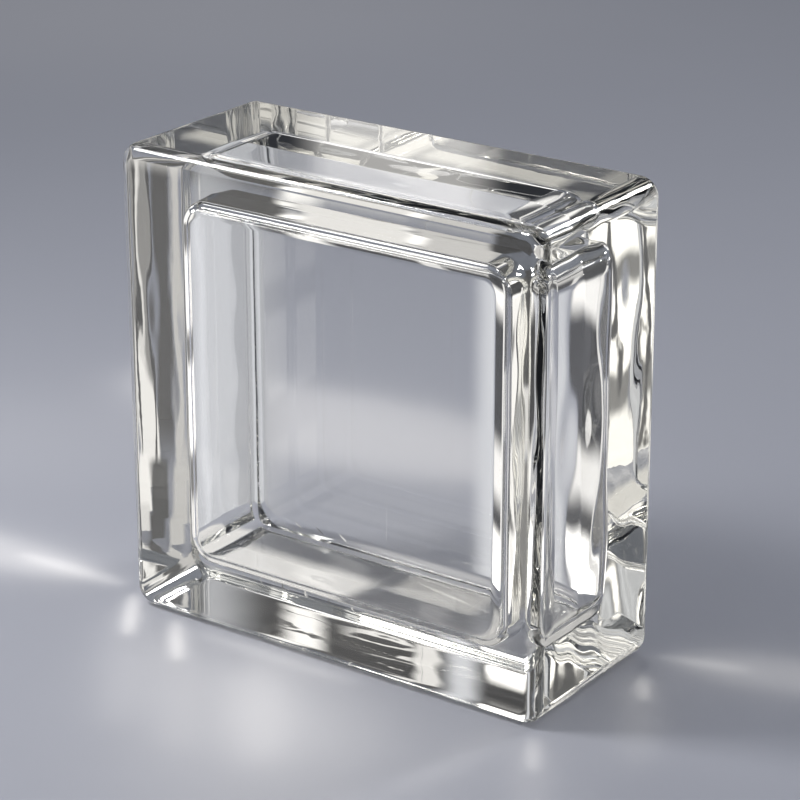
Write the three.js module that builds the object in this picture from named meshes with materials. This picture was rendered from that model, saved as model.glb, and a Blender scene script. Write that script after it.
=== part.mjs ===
// Hollow glass block for walls: two pressed glass halves fused rim to rim on a
// seam half way through the depth. Each half is a square tray. Its pane is one
// face of the block, and its rim is half of the four side walls.
//
// Units are millimetres and +Z is up. The block stands on its bed face, with the
// origin at the centre of that face. The front pane looks along -Y.

import * as THREE from "three";

// Driving dimensions.
const FACE_WIDTH = 190; // across the face, along X
const FACE_HEIGHT = 190; // up the face, along Z
const BLOCK_DEPTH = 80; // pane to pane, along Y
const FACE_CORNER_RADIUS = 8; // the four corners of the square face
const PANE_EDGE_RADIUS = 5.5; // outer edge round each pane
const PANE_THICKNESS = 18;
const SEAM_WALL = 20; // wall thickness where the two rims are fused
const DRAFT_DEGREES = 3; // slope of the cavity walls, which lets the plunger out
const CAVITY_CORNER_RADIUS = 12; // cavity's corners, measured at the seam
const CAVITY_FLOOR_RADIUS = 6; // sweep from the cavity walls to the pane

// Fineness of the round stretches.
const CORNER_STEPS = 14; // segments in each rounded corner of a section
const EDGE_STEPS = 8; // sections through the pane's outer edge
const FLOOR_STEPS = 8; // sections through the sweep at the cavity floor

const HALF_DEPTH = BLOCK_DEPTH / 2;
const CAVITY_DEPTH = HALF_DEPTH - PANE_THICKNESS; // within one half
const DRAFT_SLOPE = Math.tan(THREE.MathUtils.degToRad(DRAFT_DEGREES));
const QUARTER_TURN = Math.PI / 2;

const glass = new THREE.MeshStandardMaterial({
  color: 0xe9efec,
  roughness: 0.02,
  metalness: 0,
  transparent: true,
  opacity: 0.35,
});

// One section through a half: a rectangle with round corners, inset by `inset`
// from the block's outer faces, at `depth` from the seam towards the pane.
function section(inset, cornerRadius, depth) {
  const centreX = FACE_WIDTH / 2 - inset - cornerRadius;
  const centreZ = FACE_HEIGHT / 2 - inset - cornerRadius;
  const corners = [
    [centreX, centreZ],
    [-centreX, centreZ],
    [-centreX, -centreZ],
    [centreX, -centreZ],
  ];
  const ring = [];
  corners.forEach(([x, z], corner) => {
    for (let step = 0; step <= CORNER_STEPS; step++) {
      const angle = (corner + step / CORNER_STEPS) * QUARTER_TURN;
      const across = x + cornerRadius * Math.cos(angle);
      const up = z + cornerRadius * Math.sin(angle);
      ring.push(new THREE.Vector3(across, -depth, FACE_HEIGHT / 2 + up));
    }
  });
  return ring;
}

// Outer skin, from the face of the pane back to the seam: a quarter round at
// the pane's edge, then the flat side walls.
function outerSections() {
  const sections = [];
  for (let step = 0; step <= EDGE_STEPS; step++) {
    const angle = (step / EDGE_STEPS) * QUARTER_TURN;
    const inset = PANE_EDGE_RADIUS * (1 - Math.sin(angle));
    const depth = HALF_DEPTH - PANE_EDGE_RADIUS * (1 - Math.cos(angle));
    sections.push(section(inset, FACE_CORNER_RADIUS - inset, depth));
  }
  sections.push(section(0, FACE_CORNER_RADIUS, 0));
  return sections;
}

// Cavity, from the seam to the inside of the pane: drafted walls that close in
// with depth, then a sweep that is tangent to both the wall and the pane.
function cavitySections() {
  const draft = THREE.MathUtils.degToRad(DRAFT_DEGREES);
  const sweepTurn = QUARTER_TURN - draft;
  const sweepStart = CAVITY_DEPTH - CAVITY_FLOOR_RADIUS * (1 - Math.sin(draft));
  const wallInset = SEAM_WALL + sweepStart * DRAFT_SLOPE;
  const sections = [section(SEAM_WALL, CAVITY_CORNER_RADIUS, 0)];
  for (let step = 0; step <= FLOOR_STEPS; step++) {
    const angle = draft + (step / FLOOR_STEPS) * sweepTurn;
    const closing = CAVITY_FLOOR_RADIUS * (Math.cos(draft) - Math.cos(angle));
    const sinking = CAVITY_FLOOR_RADIUS * (Math.sin(angle) - Math.sin(draft));
    const inset = wallInset + closing;
    const cornerRadius = CAVITY_CORNER_RADIUS - (inset - SEAM_WALL);
    sections.push(section(inset, cornerRadius, sweepStart + sinking));
  }
  return sections;
}

// Joins matching sections into one closed skin, with a flat cap on the first
// and on the last section.
function loft(sections) {
  const count = sections[0].length;
  const positions = sections.flat().flatMap((point) => point.toArray());
  const triangles = [];
  for (let row = 0; row + 1 < sections.length; row++) {
    for (let column = 0; column < count; column++) {
      const next = (column + 1) % count;
      const a = row * count + column;
      const b = row * count + next;
      const c = a + count;
      const d = b + count;
      triangles.push(a, d, b, a, c, d);
    }
  }
  const last = (sections.length - 1) * count;
  for (let column = 1; column + 1 < count; column++) {
    triangles.push(0, column, column + 1);
    triangles.push(last, last + column + 1, last + column);
  }
  const geometry = new THREE.BufferGeometry();
  geometry.setAttribute("position", new THREE.Float32BufferAttribute(positions, 3));
  geometry.setIndex(triangles);
  geometry.computeVertexNormals();
  return geometry;
}

// Both halves come from one mould, so they share this geometry.
const pressedHalf = loft([...outerSections(), ...cavitySections()]);

function half(name, turn) {
  const mesh = new THREE.Mesh(pressedHalf, glass);
  mesh.name = name;
  mesh.rotation.z = turn;
  return mesh;
}

const block = new THREE.Group();
block.add(half("front_half", 0));
block.add(half("back_half", Math.PI));

export default block;
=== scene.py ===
"""Clear hollow glass block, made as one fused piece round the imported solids, on a pale studio floor."""

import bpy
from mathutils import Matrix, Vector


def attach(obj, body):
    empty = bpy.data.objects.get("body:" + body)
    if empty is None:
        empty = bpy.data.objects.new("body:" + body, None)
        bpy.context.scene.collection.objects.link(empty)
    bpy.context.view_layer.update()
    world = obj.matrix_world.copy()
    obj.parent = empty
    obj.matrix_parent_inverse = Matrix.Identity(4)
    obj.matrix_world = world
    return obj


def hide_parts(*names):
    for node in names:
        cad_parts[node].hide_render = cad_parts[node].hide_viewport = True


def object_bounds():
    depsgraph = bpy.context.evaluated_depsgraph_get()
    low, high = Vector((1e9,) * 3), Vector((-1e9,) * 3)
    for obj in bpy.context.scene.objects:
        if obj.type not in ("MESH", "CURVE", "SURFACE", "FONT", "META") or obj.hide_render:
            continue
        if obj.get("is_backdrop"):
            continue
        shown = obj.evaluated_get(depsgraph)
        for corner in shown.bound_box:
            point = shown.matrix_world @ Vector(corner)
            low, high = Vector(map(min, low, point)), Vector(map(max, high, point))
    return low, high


bl_info = {
    "name": "Hollow Glass Block",
    "version": (1, 0, 0),
    "blender": (4, 5, 0),
    "location": "3D View > Sidebar > Glass Block",
    "description": "Makes a clear hollow glass wall block and a small studio to show it in",
    "category": "Add Mesh",
}

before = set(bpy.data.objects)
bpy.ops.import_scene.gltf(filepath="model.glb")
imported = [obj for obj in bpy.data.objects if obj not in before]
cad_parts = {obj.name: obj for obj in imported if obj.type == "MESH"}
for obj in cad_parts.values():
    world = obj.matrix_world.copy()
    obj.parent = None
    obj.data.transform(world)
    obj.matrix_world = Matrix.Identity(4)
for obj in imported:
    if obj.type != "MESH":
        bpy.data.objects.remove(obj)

import bpy
import numpy as np
from bpy.props import FloatProperty, FloatVectorProperty, IntProperty, PointerProperty
from bpy.types import Operator, Panel, PropertyGroup
from mathutils import Matrix, Vector

CAD_LOW, CAD_HIGH = (Vector(corner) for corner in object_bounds())
CAD_SIZE = CAD_HIGH - CAD_LOW
MM = 0.001
PIECE_NAME = "glass_block"


# ---------------------------------------------------------------------------
# Settings
# ---------------------------------------------------------------------------


def length(name, description, default):
    """A length setting in metres."""
    return FloatProperty(
        name=name, description=description, default=default, min=0.0, unit="LENGTH", precision=4
    )


def colour(name, description, default):
    """A linear colour setting."""
    return FloatVectorProperty(
        name=name, description=description, default=default, subtype="COLOR", size=3, min=0.0, max=1.0
    )


def factor(name, description, default, high=1.0):
    """A plain number setting."""
    return FloatProperty(name=name, description=description, default=default, min=0.0, max=high)


class GlassBlockSizes(PropertyGroup):
    """Sizes of the pressed block, the same as those of its solids."""

    width: length("Width", "Across the face", CAD_SIZE.x)
    depth: length("Depth", "From pane to pane", CAD_SIZE.y)
    height: length("Height", "Up the face", CAD_SIZE.z)
    face_corner: length("Face corner", "Radius of the four corners of the face", 8.0 * MM)
    pane_edge: length("Pane edge", "Radius of the outer edge round each pane", 5.5 * MM)
    pane: length("Pane thickness", "Glass between the face and the cavity", 18.0 * MM)
    seam_wall: length("Seam wall", "Wall thickness at the fused seam", 20.0 * MM)
    cavity_corner: length("Cavity corner", "Radius of the cavity's corners at the seam", 12.0 * MM)
    floor_sweep: length("Floor sweep", "Radius between the cavity walls and the panes", 6.0 * MM)
    draft: FloatProperty(
        name="Draft",
        description="Slope of the cavity walls",
        default=np.radians(3.0),
        min=0.0,
        subtype="ANGLE",
    )
    wave_height: length("Cavity wave height", "Height of the chill waves on the cavity walls", 0.02 * MM)
    outer_wave_height: length("Outer wave height", "Height of the chill waves on the side walls", 0.07 * MM)
    wave_seed: IntProperty(name="Wave seed", description="Chooses the pattern of waves", default=3)


class GlassBlockFinish(PropertyGroup):
    """Look of the glass."""

    tint: colour("Tint", "What is left of white light after one tint depth", (0.93, 0.925, 0.89))
    tint_depth: length("Tint depth", "Depth of glass over which the tint applies", 120.0 * MM)
    polish: factor("Polish roughness", "Mean roughness of the fire-polished skin", 0.004)


class GlassBlockStudio(PropertyGroup):
    """Floor and light round the block."""

    floor_colour: colour("Floor", "Colour of the floor", (0.46, 0.475, 0.54))
    floor_roughness: factor("Floor roughness", "Roughness of the satin floor", 0.42)
    surround: factor("Surround", "Brightness of the room round the lamps", 0.185, 10.0)


# ---------------------------------------------------------------------------
# Shapes
# ---------------------------------------------------------------------------


def ring(half_x, half_z, radius, corner_steps, side_steps):
    """Rounded rectangles, one for each row of half sizes.

    Each corner is a quarter circle: its centre plus the radius times cosine and
    sine of the angle. Between corners the points run evenly along the straight
    side. Returns x, z and the outward direction, each as rows by columns.
    """
    half_x, half_z, radius = (np.atleast_1d(v)[:, None] for v in (half_x, half_z, radius))
    turn = np.linspace(0.0, 1.0, corner_steps + 1)[None, :]
    share = np.linspace(0.0, 1.0, side_steps + 2)[None, 1:-1]
    sign_x, sign_z = (1, -1, -1, 1), (1, 1, -1, -1)
    x, z, out_x, out_z = [], [], [], []
    for corner in range(4):
        after = (corner + 1) % 4
        angle = (corner + turn) * np.pi / 2
        end = (corner + 1) * np.pi / 2
        centre_x = sign_x[corner] * (half_x - radius)
        centre_z = sign_z[corner] * (half_z - radius)
        next_x = sign_x[after] * (half_x - radius)
        next_z = sign_z[after] * (half_z - radius)
        side_x = centre_x + (next_x - centre_x) * share + radius * np.cos(end)
        side_z = centre_z + (next_z - centre_z) * share + radius * np.sin(end)
        x += [centre_x + radius * np.cos(angle), side_x]
        z += [centre_z + radius * np.sin(angle), side_z]
        out_x += [np.cos(angle) + 0 * centre_x, np.cos(end) + 0 * side_x]
        out_z += [np.sin(angle) + 0 * centre_x, np.sin(end) + 0 * side_x]
    return tuple(np.concatenate(part, axis=1) for part in (x, z, out_x, out_z))


def skin(inset, radius, y, lean, sizes, corner_steps, side_steps):
    """A closed sleeve of rounded rectangles along Y.

    Row by row, the section is the block's face inset by `inset`, at depth `y`.
    The normal is the ring's outward direction times the cosine of `lean`, plus
    Y times its sine. Returns points and normals, rows by columns by three.
    """
    half_x, half_z = sizes.width / 2 - inset, sizes.height / 2 - inset
    x, z, out_x, out_z = ring(half_x, half_z, radius, corner_steps, side_steps)
    depth = np.broadcast_to(y[:, None], x.shape)
    points = np.stack([x, depth, z + sizes.height / 2], axis=-1)
    out, along = np.cos(lean)[:, None], np.sin(lean)[:, None]
    normals = np.stack([out_x * out, along + 0 * x, out_z * out], axis=-1)
    return points, normals


def with_panes(points, normals, pane_steps):
    """Closes a sleeve with a flat pane at each end.

    The pane's rings run from the sleeve's end ring to its centre: the centre
    plus the ring's offset from it times an even share from one down to zero,
    short of the centre point itself, which closes the fan.
    """
    share = np.linspace(1.0, 0.0, pane_steps + 1)[1:-1, None, None]
    ends = []
    for row in (0, -1):
        centre = points[row].mean(axis=0)
        rings = centre + (points[row] - centre) * share
        facing = np.broadcast_to(normals[row].mean(axis=0), rings.shape)
        facing = facing / np.linalg.norm(facing, axis=-1, keepdims=True)
        ends.append((rings, facing))
    points = np.concatenate([ends[0][0][::-1], points, ends[1][0]])
    normals = np.concatenate([ends[0][1][::-1], normals, ends[1][1]])
    return points, normals


def outer_skin(sizes):
    """The block's outside.

    Through the depth, the edge round a pane is a quarter circle: its inset is
    the radius times one less the sine of the angle, and its sink from the pane
    is the radius times one less the cosine. The side walls between are flat.
    """
    edge, half = sizes.pane_edge, sizes.depth / 2
    angle = np.linspace(0.0, np.pi / 2, EDGE_STEPS + 1)
    inset = edge * (1 - np.sin(angle))
    y = edge * (1 - np.cos(angle)) - half
    lean = angle - np.pi / 2
    wall = np.linspace(edge - half, half - edge, OUTER_WALL_STEPS + 1)[1:-1]
    inset = np.concatenate([inset, 0 * wall, inset[::-1]])
    y = np.concatenate([y, wall, -y[::-1]])
    lean = np.concatenate([lean, 0 * wall, -lean[::-1]])
    points, normals = skin(
        inset, sizes.face_corner - inset, y, lean, sizes, OUTER_CORNER_STEPS, OUTER_SIDE_STEPS
    )
    return with_panes(points, normals, OUTER_PANE_STEPS)


def cavity_skin(sizes):
    """The sealed hollow, mirrored about the seam.

    From a pane, the sweep is a circular arc that turns from the pane to the
    drafted wall, and the wall then widens by the tangent of the draft per unit
    of depth until the seam. The corner radius shrinks by the same inset.
    """
    draft, sweep, seam = sizes.draft, sizes.floor_sweep, sizes.seam_wall
    reach = sizes.depth / 2 - sizes.pane
    sweep_start = reach - sweep * (1 - np.sin(draft))
    wall_inset = seam + sweep_start * np.tan(draft)
    angle = np.linspace(np.pi / 2, draft, SWEEP_STEPS + 1)
    sweep_inset = wall_inset + sweep * (np.cos(draft) - np.cos(angle))
    sweep_depth = sweep_start + sweep * (np.sin(angle) - np.sin(draft))
    wall_depth = np.linspace(sweep_start, 0.0, CAVITY_WALL_STEPS + 1)[1:]
    inset = np.concatenate([sweep_inset, seam + wall_depth * np.tan(draft)])
    depth = np.concatenate([sweep_depth, wall_depth])
    lean = -np.concatenate([angle, np.full(len(wall_depth), draft)])
    lean[-1] = 0.0
    inset = np.concatenate([inset, inset[-2::-1]])
    y = np.concatenate([-depth, depth[-2::-1]])
    lean = np.concatenate([lean, -lean[-2::-1]])
    radius = sizes.cavity_corner - (inset - seam)
    points, normals = skin(
        inset, radius, y, lean, sizes, CAVITY_CORNER_STEPS, CAVITY_SIDE_STEPS
    )
    return with_panes(points, normals, CAVITY_PANE_STEPS)


def chill_waves(points, normals, share, fade_slope, height, seed, centre):
    """Long ripples that the mould leaves on a hot wall.

    The height at a point is a sum of sines of plane waves, each with its own
    wavelength across the depth, its own along the wall and its own phase, and
    each in two copies that run opposite ways across the depth, less `WAVE_SINK`
    heights, which keeps it below the true surface. The point moves along its
    normal by that height times its share, and the normal leans against the
    gradient of that product within the surface. `fade_slope` is how fast the share
    itself changes with depth.
    """
    rng = np.random.default_rng(seed)
    across = TURN / rng.uniform(*WAVE_ACROSS, WAVE_COUNT)
    along = TURN / rng.uniform(*WAVE_ALONG, (2, WAVE_COUNT)) * rng.choice([-1.0, 1.0], (2, WAVE_COUNT))
    waves = np.stack([along[0], across, along[1]], axis=-1)
    waves = np.concatenate([waves, waves * (1.0, -1.0, 1.0)])
    phase = rng.uniform(0.0, TURN, 2 * WAVE_COUNT)
    level = np.tile(rng.uniform(*WAVE_LEVEL, WAVE_COUNT), 2)
    level *= height / np.sqrt((level**2).sum() / 2)
    argument = (points - centre) @ waves.T + phase
    rise = np.sin(argument) @ level - WAVE_SINK * height
    slope = (np.cos(argument) * level) @ waves * share[..., None]
    slope[..., 1] += rise * fade_slope
    slope -= (slope * normals).sum(axis=-1, keepdims=True) * normals
    moved = points + normals * (rise * share)[..., None]
    leaning = normals - slope
    return moved, leaning / np.linalg.norm(leaning, axis=-1, keepdims=True)


def outer_waves(points, normals, sizes, height, seed, centre):
    """Sunk ripples on the side walls, which fade out before the pane edges.

    The share is one less the fourth power of the depth over the flat wall's reach.
    It is full on the right wall and `CALM_WALL_SHARE` of that on the other three.
    """
    reach = sizes.depth / 2 - sizes.pane_edge
    depth = np.clip(points[..., 1] / reach, -1.0, 1.0)
    wall = CALM_WALL_SHARE + (1 - CALM_WALL_SHARE) * np.maximum(normals[..., 0], 0.0) ** 2
    share = (1.0 - depth**4) * wall
    return chill_waves(points, normals, share, -4.0 * depth**3 / reach * wall, height, seed, centre)


def cavity_waves(points, normals, height, seed, centre):
    """Ripples on the cavity, full on its walls and `PANE_WAVE_SHARE` of that on its panes."""
    outward = normals[..., 0] ** 2 + normals[..., 2] ** 2
    share = PANE_WAVE_SHARE + (1 - PANE_WAVE_SHARE) * outward
    return chill_waves(points, normals, share, 0.0, height, seed, centre)


def grid_faces(rows, columns, first, inward):
    """Quads of a sleeve that closes on itself, and a fan to a pole at each end.

    Quad corners are the four neighbours in the grid of vertex numbers, and the
    poles are the two vertices after the grid.
    """
    number = first + np.arange(rows * columns).reshape(rows, columns)
    beside = np.roll(number, -1, axis=1)
    quads = np.stack([number[:-1], number[1:], beside[1:], beside[:-1]], axis=-1).reshape(-1, 4)
    front, back = first + rows * columns, first + rows * columns + 1
    fan_front = np.stack([np.full(columns, front), number[0], beside[0]], axis=-1)
    fan_back = np.stack([np.full(columns, back), beside[-1], number[-1]], axis=-1)
    fans = np.concatenate([fan_front, fan_back])
    return (quads[:, ::-1], fans[:, ::-1]) if inward else (quads, fans)


def surface_mesh(name, skins):
    """One mesh from several closed skins, given as (points, normals, inward).

    Each skin gets a pole in the middle of each end ring. A skin that bounds a
    hollow faces inwards, so that its faces look out of the glass.
    """
    vertices, directions, polygons = [], [], []
    first = 0
    for points, normals, inward in skins:
        rows, columns = points.shape[:2]
        poles = np.stack([points[0].mean(axis=0), points[-1].mean(axis=0)])
        facing = np.stack([normals[0].mean(axis=0), normals[-1].mean(axis=0)])
        facing /= np.linalg.norm(facing, axis=-1, keepdims=True)
        facing = np.concatenate([normals.reshape(-1, 3), facing])
        vertices += [points.reshape(-1, 3), poles]
        directions.append(-facing if inward else facing)
        for faces in grid_faces(rows, columns, first, inward):
            polygons += faces.tolist()
        first += rows * columns + 2
    mesh = bpy.data.meshes.new(name)
    mesh.from_pydata(np.concatenate(vertices).tolist(), [], polygons)
    mesh.polygons.foreach_set("use_smooth", np.ones(len(mesh.polygons), dtype=bool))
    mesh.normals_split_custom_set_from_vertices(np.concatenate(directions).tolist())
    return mesh


TURN = 2 * np.pi
EDGE_STEPS, OUTER_WALL_STEPS, OUTER_PANE_STEPS = 14, 40, 3
OUTER_CORNER_STEPS, OUTER_SIDE_STEPS = 20, 60
SWEEP_STEPS, CAVITY_WALL_STEPS, CAVITY_PANE_STEPS = 14, 24, 26
CAVITY_CORNER_STEPS, CAVITY_SIDE_STEPS = 20, 64
WAVE_COUNT = 14
WAVE_ACROSS = (14.0 * MM, 30.0 * MM)
WAVE_ALONG = (32.0 * MM, 100.0 * MM)
WAVE_LEVEL = (0.5, 1.0)
WAVE_SINK = 3.0
PANE_WAVE_SHARE = 0.12
CALM_WALL_SHARE = 0.12


# ---------------------------------------------------------------------------
# Node helpers
# ---------------------------------------------------------------------------


def add_node(tree, kind, inputs=None, **settings):
    """Adds a node, sets its own settings, and fills or links its inputs."""
    node = tree.nodes.new(kind)
    for key, value in settings.items():
        setattr(node, key, value)
    for key, value in (inputs or {}).items():
        if isinstance(value, bpy.types.NodeSocket):
            tree.links.new(value, node.inputs[key])
        else:
            node.inputs[key].default_value = value
    return node


def maths(tree, operation, first, second=0.0):
    """One sum on two values or sockets."""
    return add_node(tree, "ShaderNodeMath", {0: first, 1: second}, operation=operation).outputs[0]


def fresh_material(name):
    """An empty material with its output node."""
    material = bpy.data.materials.new(name)
    material.use_nodes = True
    material.node_tree.nodes.clear()
    output = material.node_tree.nodes.new("ShaderNodeOutputMaterial")
    return material, material.node_tree, output


def polished_skin_group():
    """Group: the fine unevenness of fire-polished pressed glass.

    Height is slow noise plus a share of finer noise. Roughness follows a third
    noise about the mean that is put in.
    """
    group = bpy.data.node_groups.new("Fire-polished skin", "ShaderNodeTree")
    sockets = (
        ("Scale", "INPUT", 1.0),
        ("Mean roughness", "INPUT", 0.01),
        ("Height", "OUTPUT", 0.0),
        ("Roughness", "OUTPUT", 0.0),
    )
    for name, way, value in sockets:
        socket = group.interface.new_socket(name, in_out=way, socket_type="NodeSocketFloat")
        socket.default_value = value
    enter = group.nodes.new("NodeGroupInput")
    leave = group.nodes.new("NodeGroupOutput")
    place = add_node(group, "ShaderNodeTexCoord").outputs["Object"]

    def noise(scale, detail):
        scaled = maths(group, "MULTIPLY", enter.outputs["Scale"], scale)
        inputs = {"Vector": place, "Scale": scaled, "Detail": detail}
        return add_node(group, "ShaderNodeTexNoise", inputs).outputs["Fac"]

    fine = maths(group, "MULTIPLY", noise(FINE_SCALE, 1.0), FINE_SHARE)
    group.links.new(maths(group, "ADD", noise(SLOW_SCALE, 1.0), fine), leave.inputs["Height"])
    swing = maths(group, "MULTIPLY", noise(POLISH_SCALE, 2.0), 2.0)
    rough = maths(group, "MULTIPLY", swing, enter.outputs["Mean roughness"])
    group.links.new(rough, leave.inputs["Roughness"])
    return group


def clear_glass_material(finish):
    """Clear glass: smooth transmission, fine skin waves, and a faint tint in depth."""
    material, tree, output = fresh_material("Clear pressed glass")
    skin_node = add_node(tree, "ShaderNodeGroup", node_tree=polished_skin_group())
    skin_node.inputs["Mean roughness"].default_value = finish.polish
    height = skin_node.outputs["Height"]
    bump = add_node(tree, "ShaderNodeBump", {"Height": height, "Distance": SKIN_BUMP, "Strength": 1.0})
    shader = add_node(
        tree,
        "ShaderNodeBsdfPrincipled",
        {
            "Base Color": (1.0, 1.0, 1.0, 1.0),
            "Metallic": 0.0,
            "Roughness": skin_node.outputs["Roughness"],
            "IOR": GLASS_IOR,
            "Transmission Weight": 1.0,
            "Normal": bump.outputs["Normal"],
        },
    )
    tint = add_node(
        tree,
        "ShaderNodeVolumeAbsorption",
        {"Color": (*finish.tint, 1.0), "Density": 1.0 / finish.tint_depth},
    )
    tree.links.new(shader.outputs["BSDF"], output.inputs["Surface"])
    tree.links.new(tint.outputs["Volume"], output.inputs["Volume"])
    return material


GLASS_IOR = 1.52
SKIN_BUMP = 0.04 * MM
SLOW_SCALE, FINE_SCALE, FINE_SHARE = 28.0, 140.0, 0.15
POLISH_SCALE = 20.0


# ---------------------------------------------------------------------------
# Stage
# ---------------------------------------------------------------------------

WARM_WHITE, COOL_WHITE = (1.0, 0.98, 0.95), (0.96, 0.975, 1.02)


def direction(azimuth, elevation):
    """Unit vector from azimuth, 0 behind the block and 90 to its right, and elevation."""
    a, e = np.radians(azimuth), np.radians(elevation)
    return Vector((np.sin(a) * np.cos(e), np.cos(a) * np.cos(e), np.sin(e)))


def floor_material(studio):
    """Plain pale satin floor with a very faint mottle."""
    material, tree, output = fresh_material("Pale studio floor")
    place = add_node(tree, "ShaderNodeTexCoord").outputs["Object"]
    noise = {"Vector": place, "Scale": MOTTLE_SCALE, "Detail": 3.0}
    mottle = add_node(tree, "ShaderNodeTexNoise", noise).outputs["Fac"]
    shade = add_node(tree, "ShaderNodeMix", {"Factor": mottle}, data_type="RGBA")
    base = np.array(studio.floor_colour)
    shade.inputs["A"].default_value = (*(base * (1 - MOTTLE_SWING)), 1.0)
    shade.inputs["B"].default_value = (*(base * (1 + MOTTLE_SWING)), 1.0)
    shader = add_node(
        tree,
        "ShaderNodeBsdfPrincipled",
        {
            "Base Color": shade.outputs["Result"],
            "Roughness": studio.floor_roughness,
            "Specular IOR Level": FLOOR_SPECULAR,
        },
    )
    tree.links.new(shader.outputs["BSDF"], output.inputs["Surface"])
    return material


def add_floor(studio):
    """A large flat floor just under the block, so that no two faces coincide."""
    size, level = FLOOR_HALF, -FLOOR_GAP
    corners = [(-size, -size, level), (size, -size, level), (size, size, level), (-size, size, level)]
    mesh = bpy.data.meshes.new("studio_floor")
    mesh.from_pydata(corners, [], [(0, 1, 2, 3)])
    mesh.materials.append(floor_material(studio))
    plane = bpy.data.objects.new("studio_floor", mesh)
    bpy.context.scene.collection.objects.link(plane)
    return plane


def add_softbox(name, azimuth, elevation, distance, size, radiance, tone):
    """A rectangular lamp that faces the block, as bright all over as `radiance`.

    The power of an evenly bright rectangle is its area times pi times its radiance.
    """
    lamp = bpy.data.lights.new(name, "AREA")
    lamp.shape = "RECTANGLE"
    lamp.size, lamp.size_y = size
    lamp.energy = radiance * np.pi * size[0] * size[1]
    lamp.color = tone
    holder = bpy.data.objects.new(name, lamp)
    bpy.context.scene.collection.objects.link(holder)
    holder.location = AIM + direction(azimuth, elevation) * distance
    holder.rotation_euler = direction(azimuth, elevation).to_track_quat("Z", "Y").to_euler()
    holder.visible_camera = False


def add_streak(name, start, end, width, height, glow):
    """A slim oval lamp close over the floor that lays a streak of light on it.

    It reaches from `start` to `end` and shines straight down from `height`, which
    also blurs the streak's edges. Its power is the oval's area times pi times
    `glow`, about how bright a white floor would turn.
    """
    start, end = Vector((*start, 0.0)), Vector((*end, 0.0))
    run = end - start
    lamp = bpy.data.lights.new(name, "AREA")
    lamp.shape = "ELLIPSE"
    lamp.size, lamp.size_y = run.length, width
    lamp.energy = glow * np.pi * run.length * width * np.pi / 4
    lamp.color = STREAK_TONE
    holder = bpy.data.objects.new(name, lamp)
    bpy.context.scene.collection.objects.link(holder)
    holder.location = (start + end) / 2 + Vector((0.0, 0.0, height))
    holder.rotation_euler = (0.0, 0.0, np.arctan2(run.y, run.x))
    holder.visible_camera = False
    holder.visible_glossy = False
    holder.visible_transmission = False


def painted_card_material(name, brightness, width, height, blur, tone):
    """Painted highlight glow, or black painted shade, that thins out to nothing towards the card's edges.

    Each way across the card, the cover rises smoothly from none at the edge to
    full at `blur` from it, and the two are multiplied. A pair gives the blur
    along the card and up it.
    """
    material, tree, output = fresh_material(name)
    flat = add_node(tree, "ShaderNodeTexCoord").outputs["UV"]
    place = add_node(tree, "ShaderNodeSeparateXYZ", {0: flat})
    cover = 1.0
    along, upward = blur if isinstance(blur, tuple) else (blur, blur)
    for axis, extent, fade in (("X", width, along), ("Y", height, upward)):
        inwards = {"Value": maths(tree, "PINGPONG", place.outputs[axis], extent / 2), "From Max": fade}
        rise = add_node(tree, "ShaderNodeMapRange", inwards, interpolation_type="SMOOTHSTEP")
        cover = maths(tree, "MULTIPLY", rise.outputs["Result"], cover)
    glow = add_node(tree, "ShaderNodeEmission", {"Color": (*tone, 1.0), "Strength": brightness})
    clear = add_node(tree, "ShaderNodeBsdfTransparent")
    parts = {0: cover, 1: clear.outputs["BSDF"], 2: glow.outputs["Emission"]}
    blend = add_node(tree, "ShaderNodeMixShader", parts)
    tree.links.new(blend.outputs["Shader"], output.inputs["Surface"])
    # The glow lights nothing: it is painted light and shade, seen only in the glass.
    material.cycles.emission_sampling = "NONE"
    return material


def painted_sheet_object(name, points, width, height, brightness, blur, tone):
    """A flat card on four points that is only seen through glass, where its glow is a painted highlight or
    patch of light and its black is painted shade.

    Its UV map is in metres, so that its blur is a true length.
    """
    mesh = bpy.data.meshes.new(name)
    mesh.from_pydata(points, [], [(0, 1, 2, 3)])
    mesh.uv_layers.new().data.foreach_set("uv", (0.0, 0.0, width, 0.0, width, height, 0.0, height))
    mesh.materials.append(painted_card_material(name, brightness, width, height, blur, tone))
    card = bpy.data.objects.new(name, mesh)
    bpy.context.scene.collection.objects.link(card)
    # Hidden from the lens, the floor, reflections and shadows: painted light and shade inside the glass
    # only.
    card.visible_camera = False
    card.visible_diffuse = False
    card.visible_glossy = False
    card.visible_shadow = False
    return card


def add_painted_card(
    layer, name, place, azimuth, low, high, width, brightness, blur=0.006, tone=WARM_WHITE, rise=0.0
):
    """An upright card of painted highlight or painted shade, black or glowing evenly, that climbs by `rise`
    from left to right.

    It stands square to `azimuth`, centred on `place` on the floor plan, and
    reaches from `low` to `high`. Each layer is moved out a little, so that no two
    cards coincide and an earlier one covers a later one.
    """
    away = direction(azimuth, 0.0)
    right = Vector((away.y, -away.x, 0.0))
    foot = Vector((*place, 0.0)) + away * layer * CARD_GAP
    edges = (foot - right * width / 2, foot + right * width / 2)
    half = rise / 2
    levels = (low - half, low + half, high + half, high - half)
    points = [(edge.x, edge.y, z) for edge, z in zip((*edges, *edges[::-1]), levels)]
    return painted_sheet_object(name, points, width, high - low, brightness, blur, tone)


def add_underlight(layer, name, start, end, brightness, blur):
    """A patch of the light that the glass lets through to the floor beneath it.

    It fills the rectangle from corner `start` to corner `end`. Each layer lies a
    little lower, so that an earlier patch covers a later one.
    """
    level = -FLOOR_GAP * (layer + 1) / (len(UNDERLIGHTS) + 1)
    (left, near), (right, far) = start, end
    points = [(left, near, level), (right, near, level), (right, far, level), (left, far, level)]
    return painted_sheet_object(name, points, right - left, far - near, brightness, blur, WARM_WHITE)


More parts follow.
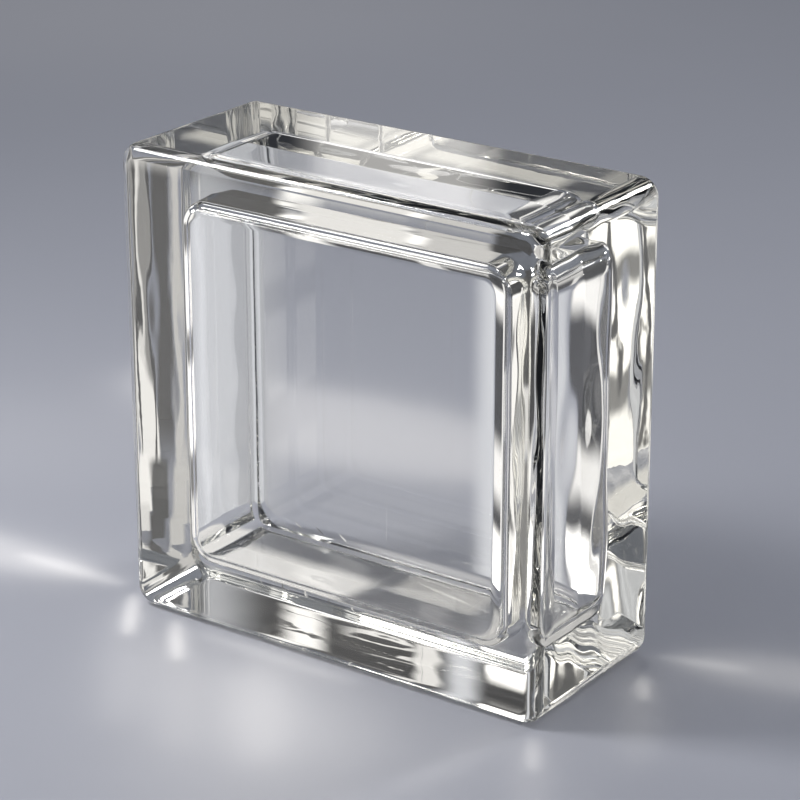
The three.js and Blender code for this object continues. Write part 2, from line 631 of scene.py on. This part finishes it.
def set_world(studio):
    """A dim even room that is a little brighter overhead."""
    world = bpy.data.worlds.new("Studio room")
    bpy.context.scene.world = world
    world.use_nodes = True
    tree = world.node_tree
    tree.nodes.clear()
    output = tree.nodes.new("ShaderNodeOutputWorld")
    place = add_node(tree, "ShaderNodeTexCoord").outputs["Generated"]
    up = add_node(tree, "ShaderNodeSeparateXYZ", {0: place}).outputs["Z"]
    lift = maths(tree, "MULTIPLY", maths(tree, "MAXIMUM", up, 0.0), studio.surround)
    strength = maths(tree, "ADD", lift, studio.surround * ROOM_LEVEL_SHARE)
    room = add_node(tree, "ShaderNodeBackground", {"Color": (*ROOM_TONE, 1.0), "Strength": strength})
    tree.links.new(room.outputs["Background"], output.inputs["Surface"])


def set_camera():
    """A long lens to the right of the block's front and above it."""
    roll = np.radians(CAMERA_ROLL)
    back = direction(180.0 - CAMERA_AZIMUTH, CAMERA_ELEVATION)
    level = Vector((0.0, 0.0, 1.0)).cross(back).normalized()
    upright = back.cross(level)
    right = level * np.cos(roll) + upright * np.sin(roll)
    up = upright * np.cos(roll) - level * np.sin(roll)
    lens = bpy.data.cameras.new("Studio camera")
    lens.lens, lens.sensor_width = CAMERA_LENS, SENSOR_WIDTH
    lens.clip_end = CLIP_END
    camera = bpy.data.objects.new("Studio camera", lens)
    bpy.context.scene.collection.objects.link(camera)
    turned = Matrix((right, up, back)).transposed().to_4x4()
    turned.translation = CAMERA_PLACE
    camera.matrix_world = turned
    bpy.context.scene.camera = camera


CAMERA_AZIMUTH, CAMERA_ELEVATION, CAMERA_ROLL = 35.519, 21.269, -0.123
CAMERA_LENS, SENSOR_WIDTH, CLIP_END = 129.03, 36.0, 100.0
CAMERA_PLACE = Vector((0.59166, -0.81980, 0.48851))
GLASS_BOUNCES, GLOSSY_BOUNCES, DIFFUSE_BOUNCES = 18, 12, 3
AIM = Vector((0.0, 0.0, 0.08))
FLOOR_HALF, FLOOR_GAP = 30.0, 0.3 * MM
FLOOR_SPECULAR = 0.5
MOTTLE_SCALE, MOTTLE_SWING = 9.0, 0.015
ROOM_TONE, ROOM_LEVEL_SHARE = (0.85, 0.91, 1.05), 0.5
KEY_TONE, FILL_TONE = (1.0, 0.985, 0.96), (1.0, 0.99, 0.98)
SOFTBOXES = (
    # name, azimuth, elevation, distance, size, radiance, tone
    ("left_key", -124.0, 47.0, 0.75, (0.19, 0.19), 26.0, KEY_TONE),
    ("back_right_key", 26.0, 33.0, 1.1, (0.16, 0.16), 25.0, KEY_TONE),
    ("front_fill", -160.0, 62.0, 0.9, (0.55, 0.55), 1.2, FILL_TONE),
    ("back_fill", -42.0, 45.0, 3.4, (1.2, 1.2), 1.8, FILL_TONE),
)
STREAK_TONE = (1.0, 0.93, 0.77)
STREAKS = (
    # name, start, end, width, height, glow
    ("left_streak", (-0.109, -0.029), (-0.165, -0.031), 0.008, 0.004, 0.8),
    ("left_streak_wide", (-0.125, -0.030), (-0.240, -0.040), 0.026, 0.010, 0.95),
    ("right_streak", (0.099, 0.039), (0.135, 0.049), 0.006, 0.004, 0.5),
    ("right_streak_wide", (0.108, 0.041), (0.195, 0.068), 0.028, 0.010, 0.45),
    ("left_pool", (-0.340, 0.030), (-0.180, 0.090), 0.100, 0.050, 0.19),
    ("behind_band", (-0.262, 0.157), (-0.030, 0.188), 0.085, 0.015, 0.78),
    ("far_pool", (-1.15, 0.60), (-0.15, 1.30), 0.60, 0.30, 0.14),
    ("far_left_pool", (-1.10, 0.46), (-0.52, 0.90), 0.34, 0.16, 0.16),
    ("behind_glow", (-0.050, 0.052), (0.046, 0.052), 0.014, 0.006, 1.0),
    ("front_left_streak", (-0.101, -0.033), (-0.078, -0.064), 0.005, 0.003, 1.4),
    ("front_left_glow", (-0.094, -0.042), (-0.030, -0.125), 0.016, 0.012, 0.5),
    ("front_second_streak", (-0.072, -0.042), (-0.048, -0.070), 0.005, 0.003, 1.3),
    ("front_second_glow", (-0.064, -0.050), (0.000, -0.128), 0.016, 0.012, 0.5),
    ("front_wide_glow", (-0.045, -0.056), (0.060, -0.092), 0.050, 0.025, 0.5),
    ("front_third_glow", (-0.024, -0.052), (0.030, -0.118), 0.022, 0.012, 0.6),
    ("front_edge_glow", (-0.060, -0.046), (0.020, -0.046), 0.006, 0.004, 0.5),
    ("front_far_glow", (-0.020, -0.120), (0.090, -0.140), 0.070, 0.040, 0.5),
    ("corner_streak", (0.096, -0.043), (0.110, -0.065), 0.004, 0.003, 0.8),
    ("corner_glow", (0.097, -0.045), (0.130, -0.098), 0.012, 0.008, 0.3),
    ("corner_left_glow", (0.086, -0.042), (0.080, -0.105), 0.012, 0.008, 0.25),
    ("right_end_streak", (0.103, 0.022), (0.114, 0.004), 0.004, 0.003, 0.9),
    ("right_end_glow", (0.104, 0.020), (0.140, -0.042), 0.012, 0.008, 0.3),
)
CARD_GAP = 0.2 * MM
# The azimuths that cards stand square to.
BEHIND, FAR_LEFT, FRAME_LINE, LEFT, RIGHT = 0.0, -35.5, 55.5, -90.0, 90.0
# Where the row behind the block and the row at its left end stand.
BACK_ROW, LEFT_ROW = 0.065, -0.12
# A wide glowing card that paints a broad highlight into the glass.
PAINTED_BACK_PANEL = ("back_white_panel", (-0.257, 0.369), FAR_LEFT, 0.24, 0.60, 0.12, 1.8, 0.03)
UNDERLIGHTS = (
    # name, start, end, brightness, blur
    ("under_near_line", (-0.084, -0.0270), (0.050, -0.0250), 0.3, (0.030, 0.0006)),
    ("under_middle_line", (-0.084, -0.0180), (0.050, -0.0150), 0.25, (0.040, 0.0008)),
    ("under_white", (-0.086, -0.034), (-0.006, 0.022), 0.9, 0.010),
    ("under_left", (-0.120, -0.032), (-0.080, 0.034), 0.9, 0.006),
    ("under_grey", (-0.006, 0.010), (0.040, 0.040), 0.45, 0.008),
    ("under_right", (0.046, -0.034), (0.092, 0.034), 0.55, 0.008),
)
# Cards seen only through the glass: the glowing ones paint its highlights and white streaks, the dark ones
# paint its dark bands.
PAINTED_CARDS = (
    # name, place, azimuth, low, high, width, brightness, then blur, tone and rise where they differ
    (
        "bottom_upper_light", (-0.176, 0.2795), FAR_LEFT, 0.1510, 0.1560, 0.056, 1.0,
        (0.022, 0.0018), WARM_WHITE, 0.0190,
    ),
    (
        "bottom_lower_light", (-0.170, 0.2830), FAR_LEFT, 0.1635, 0.1660, 0.044, 0.9,
        (0.018, 0.0010), WARM_WHITE, 0.0150,
    ),
    (
        "bottom_lower_dark", (-0.203, 0.2465), FAR_LEFT, 0.1405, 0.1440, 0.040, 0.1,
        (0.016, 0.0012), WARM_WHITE, 0.0180,
    ),
    (
        "bottom_upper_dark", (-0.203, 0.2465), FAR_LEFT, 0.1335, 0.1352, 0.036, 0.15,
        (0.014, 0.0006), WARM_WHITE, 0.0160,
    ),
    ("bottom_white", (-0.203, 0.248), FAR_LEFT, 0.075, 0.22, 0.030, 1.2, 0.012),
    ("bottom_grey", (-0.153, 0.283), FAR_LEFT, 0.085, 0.22, 0.018, 0.9),
    ("bottom_black", (-0.192, 0.269), FAR_LEFT, 0.085, 0.22, 0.36, 0.07, 0.02),
    ("left_frame_dark_line", (-0.0262, 0.0942), FRAME_LINE, -0.01, 0.18, 0.0020, 0.1, (0.0006, 0.03)),
    ("left_frame_outer_line", (-0.0227, 0.0891), FRAME_LINE, -0.01, 0.18, 0.0016, 0.1, (0.0005, 0.03)),
    (
        "left_frame_white_wedge", (-0.0249, 0.0922), FRAME_LINE, -0.03, 0.058, 0.0125, 0.95,
        (0.002, 0.012), WARM_WHITE, 0.060,
    ),
    ("left_frame_dark_bar", (-0.0294, 0.0989), FRAME_LINE, 0.0, 0.18, 0.0104, 0.12, (0.003, 0.03)),
    ("left_frame_white_line", (-0.0235, 0.0903), FRAME_LINE, 0.04, 0.18, 0.0034, 0.85, (0.0016, 0.04)),
    ("left_frame_grey_high", (-0.0240, 0.0910), FRAME_LINE, 0.03, 0.18, 0.0100, 0.3, 0.002),
    ("left_frame_light_bar", (-0.0331, 0.1043), FRAME_LINE, -0.01, 0.18, 0.0060, 0.6, 0.002),
    # The foot and heel cards stand edge-on to the lens.
    ("left_foot_dark_bar", (-0.0518, 0.0674), 53.6, -0.01, 0.03, 0.0086, 0.12, (0.002, 0.006)),
    ("left_foot_white", (-0.0405, 0.0675), 54.0, -0.01, 0.03, 0.0125, 1.0, (0.002, 0.006)),
    ("left_foot_light_bar", (-0.0633, 0.0674), 53.1, -0.01, 0.03, 0.0078, 0.6, (0.002, 0.006)),
    ("left_heel_dark_bar", (-0.0643, 0.0500), 52.5, -0.01, 0.014, 0.0086, 0.12, (0.002, 0.004)),
    ("left_heel_white", (-0.0531, 0.0500), 53.0, -0.01, 0.014, 0.0125, 0.8, (0.002, 0.004)),
    ("left_heel_light_bar", (-0.0758, 0.0500), 52.1, -0.01, 0.014, 0.0078, 0.6, (0.002, 0.004)),
    ("edge_white", (0.061, BACK_ROW), BEHIND, -0.01, 0.16, 0.010, 1.1, 0.003),
    ("edge_black_high", (0.090, BACK_ROW), BEHIND, 0.098, 0.185, 0.044, 0.08, 0.004),
    ("edge_white_middle", (0.090, BACK_ROW), BEHIND, 0.066, 0.108, 0.044, 0.8, (0.006, 0.012)),
    ("edge_black_low", (0.090, BACK_ROW), BEHIND, 0.005, 0.072, 0.044, 0.25, 0.004),
    ("edge_right_white", (0.12, 0.016), RIGHT, -0.01, 0.115, 0.024, 0.85, 0.006),
    ("window_right_white", (0.013, BACK_ROW), BEHIND, -0.02, 0.14, 0.026, 0.75, 0.012, COOL_WHITE),
    ("side_white_high", (0.045, BACK_ROW), BEHIND, 0.115, 0.147, 0.046, 1.3, (0.005, 0.012)),
    ("side_white_low", (0.045, BACK_ROW), BEHIND, 0.036, 0.074, 0.046, 1.15, (0.006, 0.014)),
    ("side_white_foot", (0.045, BACK_ROW), BEHIND, -0.01, 0.034, 0.046, 2.9, (0.005, 0.012)),
    ("side_black", (0.045, BACK_ROW), BEHIND, 0.02, 0.19, 0.046, 0.06, 0.005),
    ("window_left_fade", (-0.118, BACK_ROW), BEHIND, -0.03, 0.18, 0.072, 0.50, 0.036, COOL_WHITE),
    ("top_lower_dark", (-0.010, BACK_ROW), BEHIND, 0.162, 0.178, 0.110, 0.15, (0.040, 0.004)),
    ("top_white", (-0.041, BACK_ROW), BEHIND, 0.150, 0.22, 0.066, 0.9, 0.012),
    ("top_black", (-0.095, BACK_ROW), BEHIND, 0.150, 0.22, 0.044, 0.12, 0.008),
    ("top_grey", (0.007, BACK_ROW), BEHIND, 0.150, 0.22, 0.045, 0.65, 0.010),
    ("end_black_far", (LEFT_ROW, -0.028), LEFT, 0.0, 0.16, 0.012, 0.12, 0.004),
    ("end_black_near", (LEFT_ROW, -0.008), LEFT, 0.0, 0.15, 0.008, 0.12, 0.003),
    ("end_black_edge", (LEFT_ROW, 0.008), LEFT, 0.0, 0.14, 0.009, 0.12, 0.003),
    ("end_white_top", (LEFT_ROW, -0.015), LEFT, 0.148, 0.20, 0.084, 1.2, 0.008),
    ("end_white_high", (LEFT_ROW, -0.015), LEFT, 0.094, 0.136, 0.084, 1.8, 0.008),
    ("end_white_low", (LEFT_ROW, -0.015), LEFT, 0.042, 0.088, 0.084, 2.1, 0.008),
    ("end_white_foot", (LEFT_ROW, -0.015), LEFT, -0.01, 0.030, 0.084, 1.4, 0.008),
    ("end_grey", (LEFT_ROW, -0.015), LEFT, 0.01, 0.16, 0.084, 0.3, 0.008),
    ("window_left_streak", (LEFT_ROW, 0.037), LEFT, -0.02, 0.16, 0.010, 0.85, 0.005, COOL_WHITE),
    ("window_left_second", (LEFT_ROW, 0.050), LEFT, -0.02, 0.16, 0.008, 0.8, 0.004, COOL_WHITE),
    ("window_left_grey", (LEFT_ROW, 0.050), LEFT, -0.03, 0.21, 0.056, 0.70, 0.012, COOL_WHITE),
)


# ---------------------------------------------------------------------------
# Operators
# ---------------------------------------------------------------------------


class GLASSBLOCK_OT_glass(Operator):
    """Makes the fused glass block with its sealed hollow"""

    bl_idname = "glassblock.make_glass"
    bl_label = "Make the glass block"
    bl_options = {"REGISTER", "UNDO"}

    def execute(self, context):
        sizes = context.scene.glass_block_sizes
        if 2 * sizes.pane >= sizes.depth or 2 * sizes.seam_wall >= min(sizes.width, sizes.height):
            raise ValueError("the glass leaves no room for the hollow")
        if sizes.cavity_corner <= sizes.floor_sweep:
            raise ValueError("the cavity corner has to be larger than the floor sweep")
        centre = np.array((0.0, 0.0, sizes.height / 2))
        seed = sizes.wave_seed
        outside = outer_waves(*outer_skin(sizes), sizes, sizes.outer_wave_height, seed + 1, centre)
        inside = cavity_waves(*cavity_skin(sizes), sizes.wave_height, seed, centre)
        mesh = surface_mesh(PIECE_NAME, [(*outside, False), (*inside, True)])
        mesh.materials.append(clear_glass_material(context.scene.glass_block_finish))
        block = bpy.data.objects.new(PIECE_NAME, mesh)
        context.scene.collection.objects.link(block)
        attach(block, "root")
        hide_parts("front_half", "back_half")
        return {"FINISHED"}


class GLASSBLOCK_OT_studio(Operator):
    """Makes the floor, the lamps, the cards of painted highlight and shade in the glass, and the camera"""

    bl_idname = "glassblock.make_studio"
    bl_label = "Make the studio"
    bl_options = {"REGISTER", "UNDO"}

    def execute(self, context):
        studio = context.scene.glass_block_studio
        add_floor(studio)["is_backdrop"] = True
        for layer, card in enumerate(PAINTED_CARDS):
            add_painted_card(layer, *card)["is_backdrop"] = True
        # The back panel, a painted highlight, is the one card that the glass also mirrors.
        panel = add_painted_card(0, *PAINTED_BACK_PANEL)
        panel.visible_glossy = True
        panel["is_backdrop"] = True
        for layer, patch in enumerate(UNDERLIGHTS):
            add_underlight(layer, *patch)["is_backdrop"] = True
        for softbox in SOFTBOXES:
            add_softbox(*softbox)
        for streak in STREAKS:
            add_streak(*streak)
        set_world(studio)
        set_camera()
        scene = context.scene
        scene.view_settings.view_transform = "Standard"
        scene.cycles.max_bounces = scene.cycles.transmission_bounces = GLASS_BOUNCES
        scene.cycles.glossy_bounces = GLOSSY_BOUNCES
        scene.cycles.diffuse_bounces = DIFFUSE_BOUNCES
        return {"FINISHED"}


class GLASSBLOCK_PT_panel(Panel):
    """Sidebar panel with the block's settings and its two makers"""

    bl_idname = "GLASSBLOCK_PT_panel"
    bl_label = "Glass Block"
    bl_space_type = "VIEW_3D"
    bl_region_type = "UI"
    bl_category = "Glass Block"

    def draw(self, context):
        layout = self.layout
        for name, title in (
            ("glass_block_sizes", "Sizes"),
            ("glass_block_finish", "Glass"),
            ("glass_block_studio", "Studio"),
        ):
            box = layout.box()
            box.label(text=title)
            group = getattr(context.scene, name)
            for key in group.__annotations__:
                box.prop(group, key)
        layout.operator(GLASSBLOCK_OT_glass.bl_idname)
        layout.operator(GLASSBLOCK_OT_studio.bl_idname)


CLASSES = (
    GlassBlockSizes,
    GlassBlockFinish,
    GlassBlockStudio,
    GLASSBLOCK_OT_glass,
    GLASSBLOCK_OT_studio,
    GLASSBLOCK_PT_panel,
)


def register():
    for kind in CLASSES:
        bpy.utils.register_class(kind)
    bpy.types.Scene.glass_block_sizes = PointerProperty(type=GlassBlockSizes)
    bpy.types.Scene.glass_block_finish = PointerProperty(type=GlassBlockFinish)
    bpy.types.Scene.glass_block_studio = PointerProperty(type=GlassBlockStudio)


def unregister():
    del bpy.types.Scene.glass_block_studio
    del bpy.types.Scene.glass_block_finish
    del bpy.types.Scene.glass_block_sizes
    for kind in reversed(CLASSES):
        bpy.utils.unregister_class(kind)


def main():
    """Makes everything in order."""
    register()
    bpy.ops.glassblock.make_glass()
    bpy.ops.glassblock.make_studio()


if __name__ == "__main__":
    main()
